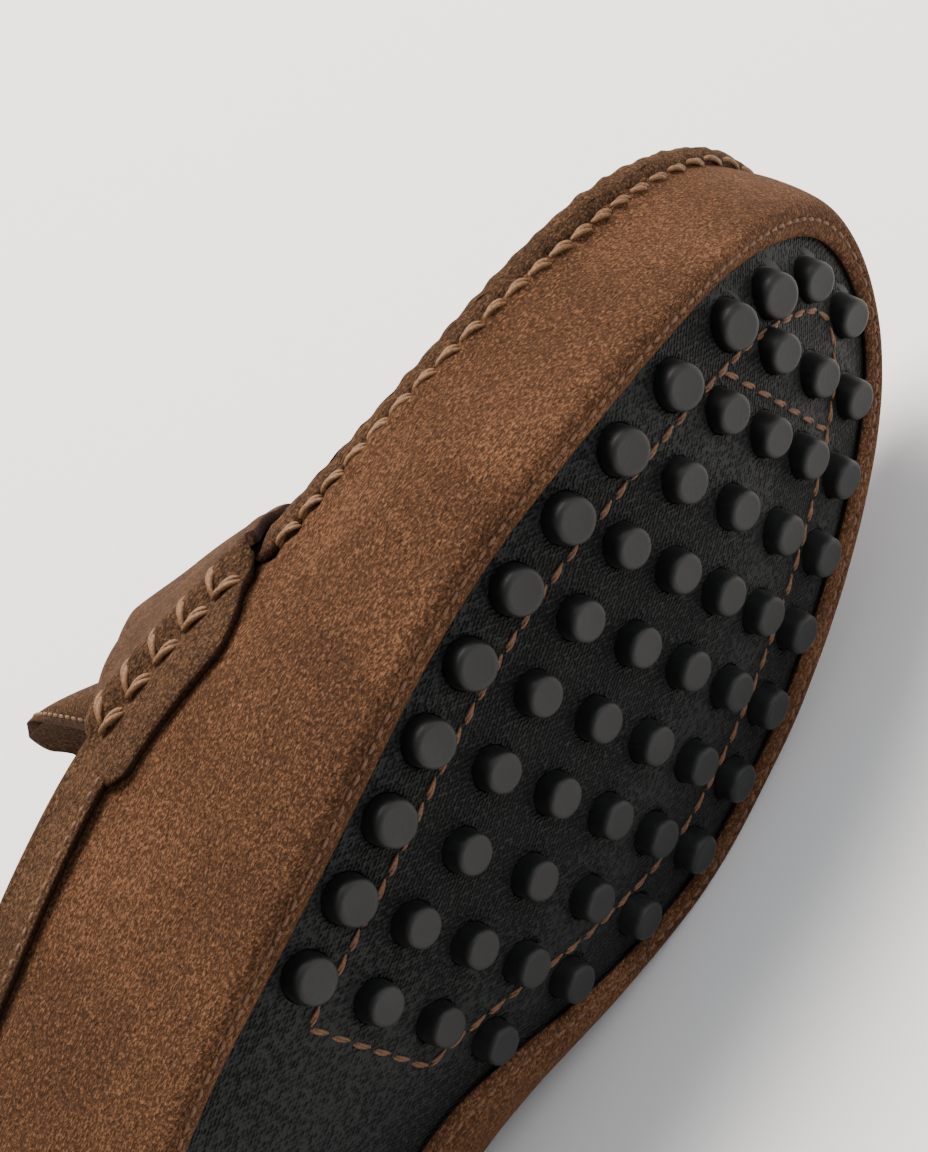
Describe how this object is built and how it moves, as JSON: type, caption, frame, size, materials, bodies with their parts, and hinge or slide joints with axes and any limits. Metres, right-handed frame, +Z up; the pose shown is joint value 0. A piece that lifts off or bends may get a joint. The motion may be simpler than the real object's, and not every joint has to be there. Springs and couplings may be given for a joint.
{
  "type": "driving moccasin",
  "caption": "Driving moccasin for the right foot, lying on its inner side: suede upper with a raised apron seam, strap over the instep, collar, and a thin flexible sole with rubber studs",
  "frame": {"origin": "middle of the bounding box's floor, with the shoe lying on its inner side", "axes": "+Y from the heel to the toe, +X the way the sole faces, +Z up from the inner side to the outer side of the foot"},
  "size_m": [0.1164, 0.2882, 0.0999],
  "materials": {
    "brown_suede": "soft brown suede, napped",
    "brown_suede_overlay": "darker brown suede, napped",
    "black_sole_sheet": "thin black sheet with a fine woven texture",
    "black_rubber": "matte black moulded rubber",
    "tan_lining": "smooth tan lining leather"
  },
  "bodies": {
    "root": {"upper": "brown_suede", "sole_sheet": "black_sole_sheet", "forefoot_stud_pad": "black_rubber", "heel_stud_pad": "black_rubber", "insole": "tan_lining", "tongue": "brown_suede", "saddle_strap": "brown_suede_overlay", "collar_band": "brown_suede_overlay"}
  },
  "joints": []
}
